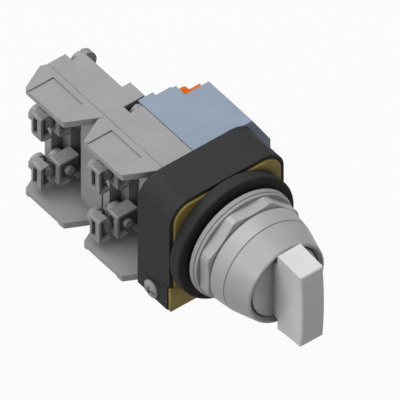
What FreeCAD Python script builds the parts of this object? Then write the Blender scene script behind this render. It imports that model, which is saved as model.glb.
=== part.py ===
import FreeCAD, Part
import math
import os

# Panel selector switch with three positions and three contact blocks, in millimetres.
# The knob faces -Y, +X is right seen from the front and +Z is up. The origin lies on the turning
# axis in the plane of the gasket face that meets the back of the panel.

# Clearances
running = 0.05          # radial, shaft in hole
fit_gap = 0.10          # between pieces that are pushed or screwed together
cam_gap = 0.20          # between cam ramp and foot of the push rod
contact_gap = 0.10      # between closed contacts, so that nothing bites

# Panel stack, from the gasket forward
panel_gap = 1.46
washer_r = 17.85
washer_t = 1.63
trim_r = 17.55
trim_t = 1.04
nut_flats = 32.2
nut_t = 4.6
nut_chamfer = 1.1
gasket_past_shell = 0.35
gasket_t = 3.75
neck_r = 14.8
neck_front = -19.4
neck_nose_r = 12.9
neck_nose_rear = -13.0
neck_bore_r = 10.8
ring_bore_play = 0.15

# Bezel
bezel_r = 16.35
bezel_band_r = 15.75
bezel_band_len = 5.3
bezel_rim_wall = 1.6
bezel_front = -23.0
bezel_rim_round = 0.6
bezel_mouth_gap = 0.35
bezel_mouth_chamfer = 1.15
bezel_rear_gap = 0.12

# Knob
disc_r = 11.55
disc_front = -22.1
disc_t = 2.0
knob_hub_r = 7.0
knob_hub_rear = -4.6
bar_half_width = 4.1
bar_waist = 0.12
bar_half_length = 13.5
bar_root_half_length = 14.35
bar_front = -35.15
bar_rear = -24.0
bar_bulge = 0.65
bar_corner_r = 0.7
set_screw_r = 1.5
set_screw_y = -12.0

# Shaft with its face cam
shaft_r = 4.0
shaft_front = -17.0
cam_disc_r = 9.2
cam_front = 7.6
cam_disc_t = 2.0
ramp_inner_r = 4.7
ramp_outer_r = 8.9
ramp_half_span = 60.0   # degrees of ramp on each side of the level of rest
ramp_step = 12.0
turn_limit = 45.0
rod_travel = 1.6        # for a turn of turn_limit
seal_front = -9.6
seal_t = 2.4

# Base casting
casting_face = gasket_t
casting_t = 2.5
bearing_front = -2.0
skirt_inner_r = 9.9
skirt_outer_r = 11.1
skirt_rear = 16.2
foot_band_t = 1.0
post_r = 2.6
post_side_inset = 5.8   # from the side of the shell
post_top_inset = 7.3
post_foot_inset = 4.1
post_foot_len = 2.0

# Screws that hold shell and foot block on the casting
body_screw_r = 1.3
body_screw_bite = 5.0
body_screw_head_r = 2.4
body_screw_head_t = 1.2
body_screw_sunk = 0.05
body_screw_way = 3.0    # start of their holes behind the front of the shell
body_slot_depth = 0.6

# Black shell and the foot block under it
shell_half = 20.3
shell_front = 4.4
shell_rear = 18.8
shell_wall = 1.25
shell_rear_wall = 2.0
shell_corner_r = 7.3
foot_step_front = 9.3   # heights of the joint over the foot of the shell
foot_step_rear = 6.95
foot_step_y = 7.2
foot_rear_step_y = 15.2
foot_proud = 0.3
foot_rise = 0.65
foot_wall = 1.6
foot_floor = 2.05
foot_rib = 4.6
ground_y = 12.05
ground_rise = 3.6
ground_head_r = 2.9
ground_head_t = 1.25
ground_dome = 0.8
ground_slot_width = 0.8
ground_slot_depth = 0.9
ground_cross = 2.6
ground_shank_r = 1.7
ground_shank_len = 4.0

# Push rods between the cam and the contact blocks
rod_foot_x = 6.6
rod_foot_r = 1.6
rod_pin_x = 2.4
rod_pin_r = 1.15
rod_plate_front = 13.4
rod_plate_t = 1.6
rod_half_height = 2.4
rod_guide_len = 2.15

# Detent spring
notch_depth = 0.8
notch_half_angle = 6.0
detent_t = 0.35
detent_width = 1.6
detent_half_span = 6.2
detent_line_z = 10.3
detent_post_r = 0.9

# Contact blocks: common outline
block_pitch = 26.5
block_top = 19.1
block_mid = -2.17
wing_step = 0.25
deck_left = -10.6
wall_left = -12.4
wing_left = -21.5
wing_t = 2.2
wing_front = 5.6
wing_rear = 23.0
wing_lean = 4.4         # how far the slanted ends run along Y
wing_corner_r = 0.8
pocket_depth = 0.45
pocket_right = -12.7
pocket_front = 8.0
pocket_rear = 21.6
bay_front = 9.4
bay_back_deep = 19.4
bay_back = 22.9
bay_deep = -4.9
bay_mid = -8.3
deck_step_x = -4.6
split_gap = 0.12
wall_rear_gap = 0.6     # the side wall ends this much ahead of the deck
cavity_left = -4.05
cavity_right = -0.75
cavity_front = 1.3
cavity_rear = 25.2
cavity_top = 8.0
cavity_bottom = -18.6
lug_right = 2.85
lug_rear = 6.5
lug_height = 9.5

# Terminals of the grey blocks
clamp_left = (-20.56, -15.39)
clamp_front = (17.15, 15.43)
clamp_top_len = (2.9, 7.0)
clamp_floor_len = (3.8, 3.6)
clamp_tops = (9.95, -9.6)
clamp_depth = 4.35
clamp_height = 8.7
clamp_wall = 0.8
clamp_bend_r = 0.6
clamp_heel = 1.0        # slope at the rear of the floor
clamp_lip = 0.3
window_y = (1.7, 3.5)    # from the front of the clamp
window_z = (-7.2, -1.25) # from its top
term_x = 3.45
term_drop = 3.75
term_shank_r = 1.35
term_tip = 1.4          # how far the tip stands out of the clamp
term_head_gap = 0.9     # between clamp and head of a screw that is undone for a wire
term_head_r = 2.75
term_head_t = 1.85
slot_width = 0.9
slot_depth = 0.8
head_edge = 0.3
driver_way_r = 2.3      # tunnel for the driver behind an inner screw
driver_way_skin = 0.45  # wall left at its side
strip_t = 0.8
tab_front = 0.25        # front of the upright tab, from the front of the clamp
strip_lift = (0.05, 1.55)  # over the floor of the outer and of the inner clamp
strip_play = 0.06
strip_width = 1.4
back_strip_y = 19.85
front_strip_y = 12.0
front_strip_start = 15.7
strip_jog_x = -9.2

# Contact carriers
stem_r = 1.2
carrier_front = 6.0
carrier_rear = 20.8
carrier_top = 1.2
carrier_bottom = -9.6
carrier_web = 0.7
bridge_t = 0.55
bridge_button = 0.45
bridge_button_len = 1.6
fixed_button = 0.3
contact_button_r = 0.38
carrier_play = 0.15
spring_wire_r = 0.16
spring_turns = 4

# Mounting screws on the plane between left and right blocks
mount_z = 14.3
mount_head_r = 4.2
mount_head_t = 2.55
mount_head_front = 23.5
mount_shank_r = 1.9
mount_end = 9.5
mount_boss_r = 2.9
mount_tap_r = 1.6
mount_tap_depth = 3.0
head_well_play = 0.15

# Blue-grey block
blue_right = 26.8
blue_shoulder_x = 20.4
blue_shoulder_z = 8.0
blue_rear = 38.6
blue_steps = ((5.3, 44.85), (10.7, 43.45), (12.0, 42.9))
blue_tail_bottom = -17.5
blue_cavity_front = 1.3
blue_cavity_bottom = -15.4
blue_strip_ahead = (1.2, 3.0)     # of the near and the far strip, from the well floor
blue_strip_drop = (2.2, 3.4)
blue_well_x = (16.4, 22.0)
blue_well_z = (5.4, -9.8)
blue_well_r = 2.5
blue_well_depth = 4.2
blue_screw_r = 2.2
blue_screw_t = 1.6
blue_screw_lift = 0.3
blue_screw_shank_r = 1.3
blue_screw_len = 3.2
blue_entry = 3.6
blue_entry_ahead = 3.0  # how far it reaches past the well floor
blue_strip_width = 1.0
blue_strip_past = 1.0   # beyond the screw
arm_foot_z = (6.8, 9.2)
arm_root_x = (4.75, 7.6)
arm_y = 39.7
arm_t = 1.3
arm_top = 17.2
arm_bottom = 10.6
arm_right = 19.0
button_x = 14.1
button_z = 15.0
button_r = 2.15
button_rear = 43.0
arm_play = 0.3

block_front = shell_rear
past = 1.0              # how far a cutter runs past a face
reach = 60.0            # longer than any piece
gasket_r = shell_half + gasket_past_shell
casting_half = shell_half - shell_wall - fit_gap
casting_corner_r = shell_corner_r - shell_wall - fit_gap
post_x = shell_half - post_side_inset
post_z = shell_half - post_top_inset
foot_post_z = shell_half - post_foot_inset
foot_step_front_z = foot_step_front - shell_half
foot_step_rear_z = foot_step_rear - shell_half
foot_bottom = foot_rise - shell_half
ground_z = ground_rise - shell_half
bezel_mouth_r = disc_r + bezel_mouth_gap
bezel_cone_r = bezel_mouth_r + bezel_rim_wall
rod_ratio = rod_travel / math.radians(turn_limit)
nut_rear = -(panel_gap + washer_t + trim_t)
nut_front = nut_rear - nut_t
ring_bore_r = neck_r + ring_bore_play
Y_AXIS = FreeCAD.Vector(0, 1, 0)


def vec(x, y, z):
    return FreeCAD.Vector(x, y, z)


def box(x, y, z):
    """A block between two limits along each axis."""
    low = vec(min(x), min(y), min(z))
    return Part.makeBox(max(x) - low.x, max(y) - low.y, max(z) - low.z, low)


def rod(radius, y, x=0.0, z=0.0):
    """A round bar along Y."""
    return Part.makeCylinder(radius, max(y) - min(y), vec(x, min(y), z), Y_AXIS)


def tube(outer, inner, y, x=0.0, z=0.0):
    return rod(outer, y, x, z).cut(rod(inner, y, x, z))


def face_of(points):
    return Part.Face(Part.makePolygon(points + [points[0]]))


def plan(points, z):
    """An outline in X and Y, raised between two heights."""
    face = face_of([vec(x, y, min(z)) for x, y in points])
    return face.extrude(vec(0, 0, max(z) - min(z)))


def front(points, y):
    """An outline in X and Z, drawn out along Y."""
    face = face_of([vec(x, min(y), z) for x, z in points])
    return face.extrude(vec(0, max(y) - min(y), 0))


def side(points, x):
    """An outline in Y and Z, drawn out along X."""
    face = face_of([vec(min(x), y, z) for y, z in points])
    return face.extrude(vec(max(x) - min(x), 0, 0))


def turned(points):
    """A ring or disc turned about the Y axis from radius and Y pairs."""
    return face_of([vec(r, y, 0) for r, y in points]).revolve(vec(0, 0, 0), Y_AXIS, 360)


def joined(shapes):
    whole = shapes[0].fuse(shapes[1:]) if len(shapes) > 1 else shapes[0]
    return whole.removeSplitter()


def group(shapes):
    return Part.makeCompound(shapes)


def round_edges(shape, radius, wanted):
    edges = [edge for edge in shape.Edges if wanted(edge)]
    return shape.makeFillet(radius, edges)


def along(edge, axis):
    """Whether an edge is straight and lies along X, Y or Z."""
    if len(edge.Vertexes) != 2 or edge.Curve.TypeId != "Part::GeomLine":
        return False
    step = edge.Vertexes[1].Point.sub(edge.Vertexes[0].Point)
    return abs(abs(step.dot(axis)) - step.Length) < 1e-6


def mirrored_about_mid(z):
    return 2 * block_mid - z


# Panel stack

def make_gasket():
    edge = 0.35
    profile = [(ring_bore_r, 0), (gasket_r - edge, 0), (gasket_r, edge), (gasket_r, gasket_t),
               (ring_bore_r, gasket_t)]
    return turned(profile)


def make_flat_ring(radius, rear, thickness):
    edge = 0.2
    front_y = rear - thickness
    profile = [(ring_bore_r, rear), (radius - edge, rear), (radius, rear - edge),
               (radius, front_y + edge), (radius - edge, front_y), (ring_bore_r, front_y)]
    return turned(profile)


def make_nut():
    corner_r = nut_flats / 2 / math.cos(math.pi / 8)
    corners = [((k + 0.5) * math.pi / 4) for k in range(8)]
    prism = front([(corner_r * math.cos(a), corner_r * math.sin(a)) for a in corners],
                  (nut_front, nut_rear))
    turned_r = corner_r - nut_chamfer * 0.25
    cone = turned([(0, nut_rear), (turned_r - 0.3, nut_rear), (turned_r, nut_rear - 0.3),
                   (turned_r, nut_front + nut_chamfer), (turned_r - 2 * nut_chamfer, nut_front),
                   (0, nut_front)])
    return prism.common(cone).cut(rod(neck_r + fit_gap, (nut_front, nut_rear)))


def make_bezel():
    rear = nut_front - bezel_rear_gap
    band_front = rear - bezel_band_len
    groove = 0.35
    inner_r = neck_r + fit_gap
    nose_bore = neck_nose_r + fit_gap
    step_y = neck_nose_rear - fit_gap
    lip_rear = disc_front + disc_t + bezel_mouth_gap
    profile = [
        (inner_r, rear), (bezel_r - 0.3, rear), (bezel_r, rear - 0.3),
        (bezel_band_r, band_front), (bezel_band_r - groove, band_front - groove / 2),
        (bezel_band_r - 0.08, band_front - groove),
        (bezel_cone_r, bezel_front + bezel_rim_round),
        (bezel_cone_r - bezel_rim_round * 0.35, bezel_front + bezel_rim_round * 0.3),
        (bezel_cone_r - bezel_rim_round, bezel_front),
        (bezel_mouth_r + bezel_mouth_chamfer * 0.7, bezel_front),
        (bezel_mouth_r, bezel_front + bezel_mouth_chamfer),
        (bezel_mouth_r, lip_rear), (nose_bore, lip_rear + bezel_mouth_gap), (nose_bore, step_y),
        (inner_r, step_y)]
    return turned(profile)


# Turning pieces

def bar_blank():
    """The handle: curved front, ends that taper forward and cheeks that flare at the root."""
    shoulder = bar_front + bar_bulge
    face_side = Part.Arc(vec(0, shoulder, bar_half_length), vec(0, bar_front, 0),
                         vec(0, shoulder, -bar_half_length)).toShape()
    root = [vec(0, shoulder, -bar_half_length), vec(0, bar_rear, -bar_root_half_length),
            vec(0, bar_rear, bar_root_half_length), vec(0, shoulder, bar_half_length)]
    outline = Part.Wire([face_side] + Part.makePolygon(root).Edges)
    extent = bar_half_width + past
    wedge = Part.Face(outline).extrude(vec(2 * extent, 0, 0))
    wedge.translate(vec(-extent, 0, 0))

    cheeks = []
    for sign in (1, -1):
        near = vec(sign * bar_half_width, bar_front - past, 0)
        far = vec(sign * bar_half_width, bar_rear, 0)
        waist = vec(sign * (bar_half_width - bar_waist), (bar_front + bar_rear) / 2, 0)
        cheeks.append(Part.Arc(near, waist, far).toShape())
    ends = [Part.makeLine(vec(bar_half_width, y, 0), vec(-bar_half_width, y, 0))
            for y in (bar_front - past, bar_rear)]
    section = Part.Face(Part.Wire(Part.__sortEdges__([cheeks[0], ends[0], cheeks[1], ends[1]])))
    height = 2 * (bar_root_half_length + past)
    post = section.extrude(vec(0, 0, height))
    post.translate(vec(0, 0, -height / 2))
    return wedge.common(post)


def make_knob():
    bar = bar_blank()
    front_limit = bar_front + bar_bulge + 0.01

    def front_rim(edge):
        return max(v.Point.y for v in edge.Vertexes) < front_limit
    bar = round_edges(bar, bar_corner_r, front_rim)
    disc_rear = disc_front + disc_t
    disc = turned([(0, disc_rear), (disc_r, disc_rear), (disc_r, disc_front + 0.3),
                   (disc_r - 0.3, disc_front), (0, disc_front)])
    neck = box((-bar_half_width, bar_half_width), (bar_rear, disc_front), (-disc_r, disc_r))
    neck = neck.common(rod(disc_r - 0.35, (bar_rear, disc_front)))
    hub = rod(knob_hub_r, (disc_rear, knob_hub_rear))
    knob = joined([bar, neck, disc, hub])
    knob = knob.cut(rod(shaft_r + running, (shaft_front - 0.3, knob_hub_rear)))
    screw_hole = Part.makeCylinder(set_screw_r + fit_gap, knob_hub_r,
                                   vec(0, set_screw_y, 0), vec(1, 0, 0))
    return knob.cut(screw_hole)


def make_set_screw():
    length = knob_hub_r - shaft_r - 0.5
    body = Part.makeCylinder(set_screw_r, length, vec(shaft_r, set_screw_y, 0), vec(1, 0, 0))
    socket = box((shaft_r + length - 1.0, shaft_r + length), (set_screw_y - 1.0, set_screw_y + 1.0),
                 (-0.25, 0.25))
    return body.cut(socket)


def sector(angle, rise):
    """A radial slice of the ramp ring at one angle, as high as the ramp is there."""
    base = cam_front + cam_disc_t - 0.5
    top = cam_front + cam_disc_t + rise
    c, s = math.cos(math.radians(angle)), math.sin(math.radians(angle))
    corners = [(ramp_inner_r, base), (ramp_outer_r, base), (ramp_outer_r, top), (ramp_inner_r, top)]
    points = [vec(r * c, y, r * s) for r, y in corners]
    return Part.makePolygon(points + [points[0]])


def ramp_rise(angle_from_middle):
    return rod_ratio * math.radians(ramp_half_span + angle_from_middle)


def make_shaft():
    cam_rear = cam_front + cam_disc_t
    shaft = rod(shaft_r, (shaft_front, cam_front + 0.1))
    disc = rod(cam_disc_r, (cam_front, cam_rear))
    steps = int(round(2 * ramp_half_span / ramp_step))
    ramps = []
    for middle, sense in ((0.0, 1.0), (180.0, -1.0)):
        slices = []
        for k in range(steps + 1):
            lead = -ramp_half_span + k * ramp_step
            slices.append(sector(middle + sense * lead, ramp_rise(lead)))
        ramps.append(Part.makeLoft(slices, True, True))
    plateau = tube(ramp_outer_r, ramp_inner_r, (cam_rear - 0.5, cam_rear + ramp_rise(ramp_half_span)))
    extent = cam_disc_r + past
    half = extent * math.tan(math.radians(90 - ramp_half_span))
    wedge = front([(0, 0), (half, extent), (-half, extent)], (cam_front, cam_rear + reach))
    ramps.append(plateau.common(wedge))
    cam = joined([shaft, disc] + ramps)
    for turn in (-turn_limit, 0.0, turn_limit):
        cam = cam.cut(notch_at(90.0 + turn))
    return cam


def notch_at(angle):
    """A V notch in the rim of the cam disc."""
    c, s = math.cos(math.radians(angle)), math.sin(math.radians(angle))
    deep = cam_disc_r - notch_depth
    wide = cam_disc_r * math.tan(math.radians(notch_half_angle)) * 1.6
    out = cam_disc_r + notch_depth * 0.6
    corners = [(deep * c, deep * s), (out * c - wide * s, out * s + wide * c),
               (out * c + wide * s, out * s - wide * c)]
    return front(corners, (cam_front - past, cam_front + cam_disc_t + reach))


def make_seal():
    outer, inner = neck_bore_r - running, knob_hub_r + running
    lip = 0.5
    seal_rear = seal_front + seal_t
    profile = [(inner, seal_front + lip), (inner + lip, seal_front), (outer, seal_front),
               (outer, seal_rear), (inner + lip, seal_rear), (inner, seal_rear - lip)]
    return turned(profile)


# Operator body

def rounded_square(half, low, corner_r, y):
    """A square outline with its two upper corners rounded."""
    points = [(-half, low), (half, low), (half, half), (-half, half)]
    slab = front(points, y)
    return round_edges(slab, corner_r, lambda e: along(e, Y_AXIS) and e.Vertexes[0].Z > 0)


def post_places():
    return [(x, z) for z in (post_z, -foot_post_z) for x in (-post_x, post_x)]


def make_casting():
    plate_rear = casting_face + casting_t
    neck = turned([(neck_bore_r, casting_face), (neck_r, casting_face), (neck_r, neck_nose_rear),
                   (neck_nose_r, neck_nose_rear), (neck_nose_r, neck_front + 0.4),
                   (neck_nose_r - 0.4, neck_front), (neck_bore_r, neck_front)])
    bearing = rod(neck_bore_r + 0.5, (bearing_front, casting_face))
    plate = rounded_square(casting_half, foot_step_front_z + fit_gap, casting_corner_r,
                           (casting_face, plate_rear))
    plate = round_edges(plate, 0.4, lambda e: max(v.Y for v in e.Vertexes) < casting_face + 0.01
                        and e.BoundBox.ZMax > foot_step_front_z + 1)
    band = box((-shell_half, shell_half), (casting_face, casting_face + foot_band_t),
               (foot_bottom, foot_step_front_z))
    tie_half = casting_half - casting_corner_r
    tie = box((-tie_half, tie_half), (casting_face, casting_face + foot_band_t),
              (foot_step_front_z - fit_gap, foot_step_front_z + 2 * fit_gap))
    skirt = rod(skirt_outer_r, (plate_rear - 0.1, skirt_rear))
    pieces = [neck, bearing, plate, band, tie, skirt]
    for x, z in post_places():
        start = plate_rear if z > 0 else casting_face + foot_band_t
        end = skirt_rear if z > 0 else foot_step_y + post_foot_len
        pieces.append(rod(post_r, (start - 0.1, end), x, z))
    for x in (-1, 1):
        pieces.append(rod(detent_post_r, (plate_rear - 0.1, cam_front + cam_disc_t + 0.4),
                          x * (detent_half_span + detent_post_r + 0.5), detent_line_z))
    casting = joined(pieces)
    casting = casting.cut(rod(skirt_inner_r, (plate_rear, skirt_rear + 1)))
    casting = casting.cut(rod(shaft_r + running, (bearing_front - 1, plate_rear + 1)))
    slot = box((-detent_half_span - 0.9, detent_half_span + 0.9),
               (cam_front - 0.1, cam_front + cam_disc_t + 0.1), (cam_disc_r / 2, detent_line_z + 0.9))
    keep = rod(skirt_inner_r - 0.5, (cam_front - 1, cam_front + cam_disc_t + 1))
    posts = [rod(detent_post_r + 0.01, (cam_front - 1, cam_front + cam_disc_t + 1),
                 x * (detent_half_span + detent_post_r + 0.5), detent_line_z) for x in (-1, 1)]
    casting = casting.cut(slot.cut(joined([keep] + posts)))
    for x, z in post_places():
        end = skirt_rear if z > 0 else foot_step_y + post_foot_len
        casting = casting.cut(rod(body_screw_r + fit_gap, (end - body_screw_bite, end + 1), x, z))
    return casting


def foot_line(y_play=0.0, z_play=0.0):
    """The stepped joint between shell and foot block, as a cutter for what lies below it."""
    low = -shell_half - reach
    y0, y1 = shell_front - reach, shell_rear + reach
    points = [(y0, low), (y1, low), (y1, foot_step_rear_z + z_play),
              (foot_step_y + y_play, foot_step_rear_z + z_play),
              (foot_step_y + y_play, foot_step_front_z + z_play), (y0, foot_step_front_z + z_play)]
    return side(points, (-reach, reach))


def make_shell():
    outer = rounded_square(shell_half, -shell_half, shell_corner_r, (shell_front, shell_rear))
    inner_r = shell_corner_r - shell_wall
    inner_half = shell_half - shell_wall
    hollow = rounded_square(inner_half, -inner_half, inner_r,
                            (shell_front - 1, shell_rear - shell_rear_wall))
    shell = outer.cut(hollow).cut(foot_line(fit_gap, fit_gap))
    boss = rod(mount_boss_r, (mount_end, shell_rear - 0.1), 0, mount_z)
    shell = joined([shell, boss])
    shell = shell.cut(rod(mount_shank_r + running, (mount_end - 1, shell_rear + 1), 0, mount_z))
    for sign in (-1, 1):
        for x in (rod_pin_x, rod_foot_x):
            shell = shell.cut(rod(rod_pin_r + running, (shell_front, shell_rear + 1), sign * x, 0))
        shell = shell.cut(body_screw_hole(sign * post_x, post_z))
    return shell


def body_screw_hole(x, z):
    shank = rod(body_screw_r + fit_gap, (shell_front + body_screw_way, shell_rear + past), x, z)
    well = (shell_rear - body_screw_head_t - body_screw_sunk, shell_rear + past)
    head = rod(body_screw_head_r + fit_gap, well, x, z)
    return shank.fuse(head)


def make_foot():
    half = shell_half + foot_proud
    inner = shell_half - fit_gap
    front_y = casting_face + foot_band_t
    block = box((-half, half), (front_y, shell_rear), (foot_bottom, shell_half)).common(foot_line())
    for sign in (-1, 1):
        beyond = (sign * shell_half, sign * (half + 1))
        for y in ((front_y - 1, shell_front + 0.6), (foot_rear_step_y, shell_rear + 1)):
            block = block.cut(box(beyond, y, (foot_bottom - 1, shell_half)))
    hollow = box((foot_rib - inner, inner - foot_rib), (front_y + foot_wall, shell_rear - 2 * foot_wall),
                 (foot_bottom + foot_floor, foot_step_rear_z))
    block = block.cut(hollow)
    block = block.cut(rod(skirt_outer_r + 0.3, (front_y - 1, shell_rear + 1)))
    for x in (-post_x, post_x):
        post_end = foot_step_y + post_foot_len + fit_gap
        block = block.cut(rod(post_r + fit_gap, (front_y - past, post_end), x, -foot_post_z))
        block = block.cut(body_screw_hole(x, -foot_post_z))
    low_screw_z = mirrored_about_mid(mount_z)
    block = block.cut(rod(mount_shank_r + running, (mount_end - 1, shell_rear + 1), 0, low_screw_z))
    ground = Part.makeCylinder(ground_shank_r + fit_gap, ground_shank_len + foot_proud,
                               vec(-half, ground_y, ground_z), vec(1, 0, 0))
    return block.cut(ground)


def make_body_screws():
    screws = []
    for x, z in post_places():
        end = skirt_rear if z > 0 else foot_step_y + post_foot_len
        head_front = shell_rear - body_screw_head_t
        screw = rod(body_screw_r, (end - body_screw_bite + 0.4, head_front + 0.1), x, z)
        head = rod(body_screw_head_r, (head_front, shell_rear - body_screw_sunk), x, z)
        slot = box((x - body_screw_head_r, x + body_screw_head_r),
                   (shell_rear - body_slot_depth, shell_rear), (z - 0.3, z + 0.3))
        screws.append(screw.fuse(head).cut(slot).removeSplitter())
    return group(screws)


def make_ground_screw():
    face_x = -shell_half - foot_proud
    dome_r = (ground_head_r ** 2 + ground_dome ** 2) / (2 * ground_dome)
    tip_x = face_x - ground_head_t
    ball = Part.makeSphere(dome_r, vec(tip_x + dome_r, ground_y, ground_z))
    head = Part.makeCylinder(ground_head_r, ground_head_t, vec(face_x, ground_y, ground_z),
                             vec(-1, 0, 0)).common(ball)
    shank = Part.makeCylinder(ground_shank_r, ground_shank_len - 0.3,
                              vec(face_x - 0.1, ground_y, ground_z), vec(1, 0, 0))
    half = ground_slot_width / 2
    deep = (tip_x - past, tip_x + ground_slot_depth)
    slot = box(deep, (ground_y - reach, ground_y + reach), (ground_z - half, ground_z + half))
    cross = box(deep, (ground_y - half, ground_y + half),
                (ground_z - ground_cross / 2, ground_z + ground_cross / 2))
    return head.fuse(shank).cut(slot).cut(cross).removeSplitter()


def make_detent():
    """A flat spring with a V in its middle that drops into a notch of the cam."""
    tip = cam_disc_r - notch_depth + detent_t + 0.25
    z = detent_line_z
    lower = [(-detent_half_span, z - detent_t), (-1.5, z - detent_t), (0, tip - detent_t),
             (1.5, z - detent_t), (detent_half_span, z - detent_t)]
    upper = [(detent_half_span, z), (1.4, z), (0, tip), (-1.4, z), (-detent_half_span, z)]
    middle = cam_front + cam_disc_t / 2
    strip = front(lower + upper, (middle - detent_width / 2, middle + detent_width / 2))
    return strip


# Push rods

def make_push_rod(sign):
    rear = rod_plate_front + rod_plate_t
    inner_x = rod_pin_x - rod_pin_r - 0.15
    outer_x = rod_foot_x + rod_foot_r
    plate = box((sign * inner_x, sign * outer_x), (rod_plate_front, rear),
                (-rod_half_height, rod_half_height))
    plate = round_edges(plate, 0.6, lambda e: along(e, Y_AXIS))
    tip = cam_front + cam_disc_t + ramp_rise(0.0) + cam_gap
    foot = rod(rod_foot_r, (tip + rod_foot_r * 0.6, rear), sign * rod_foot_x)
    ball = Part.makeSphere(rod_foot_r, vec(sign * rod_foot_x, tip + rod_foot_r, 0))
    pin = rod(rod_pin_r, (rear - 0.1, shell_rear), sign * rod_pin_x)
    guide = rod(rod_pin_r, (rear - 0.1, rear + rod_guide_len), sign * rod_foot_x)
    ball = ball.common(box((-reach, reach), (tip - past, rear), (-reach, reach)))
    foot = foot.fuse(ball)
    return joined([plate, foot, pin, guide])


# Grey contact blocks

def wing_outline(inset=0.0):
    """Outline of one wing seen from above, from the deck seam out to the left edge."""
    start = 0.0 + inset
    end = block_pitch - inset
    root = wall_left - 0.5
    root_front = wing_front - wing_lean
    root_rear = wing_rear + wing_lean
    return [(deck_left, start), (root, root_front + inset), (wing_left + inset, wing_front),
            (wing_left + inset, wing_rear), (root, root_rear - inset), (deck_left, end)]


def make_wing(top):
    wing = plan(wing_outline(), (top - wing_t, top))
    z_axis = vec(0, 0, 1)

    def outer_corner(edge):
        return along(edge, z_axis) and edge.Vertexes[0].X < wall_left - 0.1
    return round_edges(wing, wing_corner_r, outer_corner)


def make_label_pocket(face_z, inward):
    """A shallow recess that runs out at the left edge of a wing."""
    return box((wing_left - 1, pocket_right), (pocket_front, pocket_rear),
               (face_z, face_z + inward * pocket_depth))


def screw_way(x_side, y_end):
    """Half of the two mounting screw holes and head wells, for a block beside the middle plane."""
    cuts = []
    for z in (mount_z, mirrored_about_mid(mount_z)):
        outward = 1 if z == mount_z else -1
        cuts.append(rod(mount_shank_r + 0.2, (-1, block_pitch + 1), 0, z))
        well_r = mount_head_r + head_well_play
        well = (mount_head_front - 0.1, y_end + 1)
        cuts.append(rod(well_r, well, 0, z))
        cuts.append(box((-deck_step_x, deck_step_x), well, (z, z + outward * reach)))
    return cuts


def make_grey_housing(lug):
    """Moulded housing with its wings, open terminal bay and the slot the carrier runs in."""
    low = mirrored_about_mid(block_top)
    inner_top = block_top - wing_step - wing_t
    inner_low = mirrored_about_mid(inner_top)
    deck = box((deck_left, -split_gap), (0, block_pitch), (low, block_top))
    wall = box((wall_left, deck_left + 0.1), (0, block_pitch - wall_rear_gap),
               (inner_low, inner_top))
    upper = make_wing(block_top - wing_step)
    lower = make_wing(block_top - wing_step).mirror(vec(0, 0, block_mid), vec(0, 0, 1))
    body = [deck, wall, upper, lower]
    if lug:
        for z in (block_top, low):
            inward = -1 if z == block_top else 1
            body.append(box((-split_gap - 0.1, lug_right), (0, lug_rear), (z, z + inward * lug_height)))
    housing = joined(body)

    bay_z = (inner_low, inner_top)
    bay = [box((wing_left, bay_deep), (bay_front, bay_back_deep), bay_z),
           box((wing_left, bay_mid), (bay_front, bay_back), bay_z)]
    cavity = box((cavity_left, cavity_right), (cavity_front, cavity_rear),
                 (cavity_bottom, cavity_top))
    stems = rod(stem_r + running, (-1, block_pitch + 1), -rod_pin_x)
    cuts = bay + [cavity, stems] + screw_way(-1, block_pitch)
    cuts.append(make_label_pocket(block_top - wing_step, -1))
    cuts.append(make_label_pocket(mirrored_about_mid(block_top - wing_step), 1))
    skin = box((wall_left - past, wall_left + driver_way_skin), (0, reach), (-reach, reach))
    for top in clamp_tops:
        cuts += [strip_shape(column, top, strip_play) for column in (0, 1)]
        way = rod(driver_way_r, (bay_back - past, block_pitch + past), clamp_left[1] + term_x,
                  top - term_drop)
        cuts.append(way.cut(skin))
    for cutter in cuts:
        housing = housing.cut(cutter)
    return housing.removeSplitter()


def strip_level(column, top):
    """Underside of a contact strip over the floor of its clamp."""
    return top - clamp_height + clamp_wall + strip_lift[column]


def strip_shape(column, top, play=0.0):
    """Contact strip from a clamp floor into the carrier slot; the front one has a jog."""
    low_z = strip_level(column, top)
    z = (low_z - play, low_z + strip_t + play)
    start = clamp_left[column] + clamp_wall + 0.15
    if column == 0:
        end = cavity_left + (cavity_right - cavity_left) * 0.4
        return box((start, end + play), (back_strip_y - play, back_strip_y + strip_width + play), z)
    end = cavity_right - 0.1
    y0, y1 = front_strip_start, front_strip_y
    jog = strip_jog_x
    w = strip_width
    points = [(start, y0 - play), (jog - w - play, y0 - play), (jog - w - play, y1 - play),
              (end + play, y1 - play), (end + play, y1 + w + play), (jog + play, y1 + w + play),
              (jog + play, y0 + w + play), (start, y0 + w + play)]
    return plan(points, z)


def make_strip(column, row):
    """Terminal strip with its contact button inside the housing."""
    top = clamp_tops[row]
    strip = strip_shape(column, top)
    low_z = strip_level(column, top)
    tab_y = clamp_front[column] + tab_front
    left = clamp_left[column] + clamp_wall + 0.15
    right = clamp_left[column] + clamp_top_len[column] - 0.1
    tab = box((left, right), (tab_y, tab_y + strip_t), (low_z, top - clamp_wall - 0.1))
    tab = tab.cut(rod(term_shank_r + running, (tab_y - 1, tab_y + 2), clamp_left[column] + term_x,
                      top - term_drop))
    foot_rear = back_strip_y + strip_width if column == 0 else front_strip_start + strip_width
    foot = box((left, clamp_left[column] + clamp_floor_len[column] - 0.1), (tab_y, foot_rear),
               (low_z, low_z + strip_t))
    middle = sum(carrier_lane(column)) / 2
    mid_z = low_z + strip_t / 2
    if column == 0:
        face_y = (back_strip_y - fixed_button, back_strip_y + 0.1)
    else:
        face_y = (front_strip_y + strip_width - 0.1, front_strip_y + strip_width + fixed_button)
    button = rod(contact_button_r, face_y, middle, mid_z)
    return joined([strip, tab, foot, button])


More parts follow.
